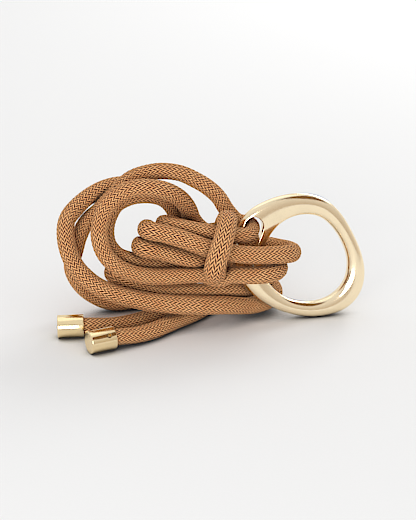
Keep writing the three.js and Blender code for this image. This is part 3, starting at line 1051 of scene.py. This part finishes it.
def hand_wear_group():
    """Fine marks of handling on polished metal: faint smears and hairline scratches."""
    tree = bpy.data.node_groups.new("hand_wear", "ShaderNodeTree")
    tree.interface.new_socket("Smear Size", in_out="INPUT", socket_type="NodeSocketFloat")
    tree.interface.new_socket("Scratch Size", in_out="INPUT", socket_type="NodeSocketFloat")
    tree.interface.new_socket("Smear", in_out="OUTPUT", socket_type="NodeSocketFloat")
    tree.interface.new_socket("Scratch", in_out="OUTPUT", socket_type="NodeSocketFloat")
    given = add_node(tree, "NodeGroupInput")
    place = add_node(tree, "ShaderNodeTexCoord").outputs["Object"]
    smears = add_node(
        tree, "ShaderNodeTexNoise", {"Vector": place, "Scale": given.outputs["Smear Size"], "Detail": 4.0}
    )
    smear = spread(tree, smears.outputs["Fac"], 0.42, 0.72)
    stretched = add_node(tree, "ShaderNodeMapping", {"Vector": place, "Scale": (1.0, 7.0, 0.35)})
    hairs = add_node(
        tree,
        "ShaderNodeTexNoise",
        {"Vector": stretched.outputs[0], "Scale": given.outputs["Scratch Size"], "Detail": 2.0},
    )
    scratch = spread(tree, hairs.outputs["Fac"], 0.60, 0.68)
    add_node(tree, "NodeGroupOutput", {"Smear": smear, "Scratch": scratch})
    return tree


def polished_metal(name, colour, roughness, group):
    """Gold-toned polished metal with faint wear."""
    material, tree, shader = start_material(name, Metallic=1.0, Roughness=roughness)
    wear = add_node(tree, "ShaderNodeGroup", node_tree=group)
    wear.inputs["Smear Size"].default_value = 90.0
    wear.inputs["Scratch Size"].default_value = 900.0
    deeper = tuple(0.93 * c for c in colour[:3]) + (1.0,)
    tone = blended(tree, wear.outputs["Smear"], colour, deeper)
    tree.links.new(tone, shader.inputs["Base Color"])
    rough = sum_of(tree, "MULTIPLY_ADD", wear.outputs["Smear"], 0.05, roughness)
    rough = sum_of(tree, "MULTIPLY_ADD", wear.outputs["Scratch"], 0.05, rough)
    tree.links.new(rough, shader.inputs["Roughness"])
    bump = add_node(
        tree, "ShaderNodeBump", {"Height": wear.outputs["Scratch"], "Distance": 0.00001, "Strength": 0.25}
    )
    tree.links.new(bump.outputs[0], shader.inputs["Normal"])
    return material


def floor_material():
    """Matt white paper, darkened where the belt keeps the light off it."""
    material, tree, shader = start_material("paper_floor", Roughness=0.9, Specular_IOR_Level=0.2)
    place = add_node(tree, "ShaderNodeTexCoord").outputs["Object"]
    grain = add_node(tree, "ShaderNodeTexNoise", {"Vector": place, "Scale": 900.0, "Detail": 3.0})
    colour = blended(tree, grain.outputs["Fac"], FLOOR_DIM, FLOOR_PALE)
    # the shadow where the belt touches the floor is deep and narrow
    shelter = add_node(tree, "ShaderNodeAmbientOcclusion", {"Distance": FLOOR_SHADOW_REACH}, samples=8)
    touch = spread(tree, shelter.outputs["AO"], 0.25, 0.72, 0.92, 0.0)
    colour = blended(tree, touch, colour, FLOOR_SHADOW)
    tree.links.new(colour, shader.inputs["Base Color"])
    return material


def give(thing, material):
    """Dresses a piece in one material."""
    thing.data.materials.clear()
    thing.data.materials.append(material)


# The studio


def make_floor():
    """The white sweep the belt lies on."""
    size = 4.0
    corners = [(-size, -size, 0.0), (size, -size, 0.0), (size, size, 0.0), (-size, size, 0.0)]
    floor = new_object("studio_floor", corners, [(0, 1, 2, 3)], smooth=False)
    floor.data.materials.append(floor_material())


def aim(thing, place, target):
    """Puts a lamp or card somewhere and turns its face to a target."""
    thing.location = place
    way = Vector(target) - Vector(place)
    thing.rotation_euler = way.to_track_quat("-Z", "Y").to_euler()


def make_soft_light(name, place, target, size, power):
    """A white softbox that faces a target."""
    data = bpy.data.lights.new(name, "AREA")
    data.shape = "RECTANGLE"
    data.size, data.size_y = size
    data.energy = power
    light = bpy.data.objects.new(name, data)
    bpy.context.scene.collection.objects.link(light)
    aim(light, place, target)


def make_dark_card(name, place, target, size, colour):
    """A card that only shows in the polished metal, as the darker parts of a studio do."""
    x, y = size[0] / 2, size[1] / 2
    corners = [(-x, -y, 0), (x, -y, 0), (x, y, 0), (-x, y, 0)]
    card = new_object(name, corners, [(0, 1, 2, 3)], smooth=False)
    material, tree, shader = start_material(name, Roughness=1.0, Specular_IOR_Level=0.0)
    shader.inputs["Base Color"].default_value = colour
    card.data.materials.append(material)
    aim(card, place, target)
    card.visible_camera = False
    card.visible_diffuse = False
    card.visible_shadow = False


def make_room_light():
    """The light of the white room itself."""
    world = bpy.data.worlds.new("white_studio")
    bpy.context.scene.world = world
    world.use_nodes = True
    tree = world.node_tree
    tree.nodes.clear()
    way = add_node(tree, "ShaderNodeTexCoord").outputs["Generated"]
    part = add_node(tree, "ShaderNodeSeparateXYZ", {0: way})
    # brightest above and behind the object, dimmer low down on the viewer's side
    behind = spread(tree, part.outputs[1], -0.9, 0.5)
    above = spread(tree, part.outputs[2], -0.1, 0.8)
    amount = sum_of(tree, "MAXIMUM", behind, above)
    colour = blended(tree, amount, ROOM_DIM, ROOM_WHITE)
    light = add_node(tree, "ShaderNodeBackground", {"Color": colour, "Strength": ROOM_STRENGTH})
    add_node(tree, "ShaderNodeOutputWorld", {"Surface": light.outputs[0]})


def make_lights():
    """The room, three softboxes and a dark card."""
    make_room_light()
    make_soft_light("front_softbox", (-0.25, -1.20, 0.30), (0.0, 0.0, 0.03), (0.8, 0.6), 8.5)
    make_soft_light("top_softbox", (-0.20, 0.25, 1.15), (0.0, 0.0, 0.03), (0.9, 0.9), 1.0)
    make_soft_light("back_light", (0.75, 1.20, 0.90), (0.45, 0.85, 0.0), (0.8, 0.8), 9.0)
    # this shows as brown bands on the caps and along the buckle's edge
    make_dark_card("dark_card", (0.33, -0.20, 0.55), (-0.04, -0.02, 0.02), (0.5, 0.35), CARD_BROWN)
    bpy.context.scene.view_settings.view_transform = "Standard"


def crisp_picture():
    """The photograph is a little sharpened, and so is the picture."""
    scene = bpy.context.scene
    scene.use_nodes = True
    tree = scene.node_tree
    tree.nodes.clear()
    layer = tree.nodes.new("CompositorNodeRLayers")
    sharp = tree.nodes.new("CompositorNodeFilter")
    sharp.filter_type = "SHARPEN"
    sharp.inputs["Fac"].default_value = SHARPENING
    result = tree.nodes.new("CompositorNodeComposite")
    tree.links.new(layer.outputs["Image"], sharp.inputs["Image"])
    tree.links.new(sharp.outputs["Image"], result.inputs["Image"])


def main():
    """Builds, dresses and lights the belt, and hangs every piece under one root body."""
    make_camera()
    rope, centres, length = make_rope()
    rear = ("end_cap_rear", REAR_CAP_MOUTH, REAR_CAP_HEADING, REAR_CAP_ROLL)
    front = ("end_cap_front", FRONT_CAP_MOUTH, FRONT_CAP_HEADING, FRONT_CAP_ROLL)
    caps = []
    screws = []
    for name, mouth, heading, roll in (rear, front):
        caps.append(make_cap(name + "_turned", mouth, heading, roll))
        screws.append(make_screw(name + "_set_screw", mouth, heading, roll))
        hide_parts(name)
        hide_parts(name + "_screw")
    ring = make_ring()
    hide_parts("ring_buckle")
    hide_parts("rope")

    wear = hand_wear_group()
    gold = polished_metal("gold_metal_ring", RING_GOLD, RING_ROUGHNESS, wear)
    cap_gold = polished_metal("gold_metal_cap", CAP_GOLD, CAP_ROUGHNESS, wear)
    give(rope, rope_braid_material())
    give(ring, gold)
    for thing in caps + screws:
        give(thing, cap_gold)
    for thing in [rope, ring] + caps + screws:
        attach(thing, "root")
    make_floor()
    make_lights()
    crisp_picture()


main()
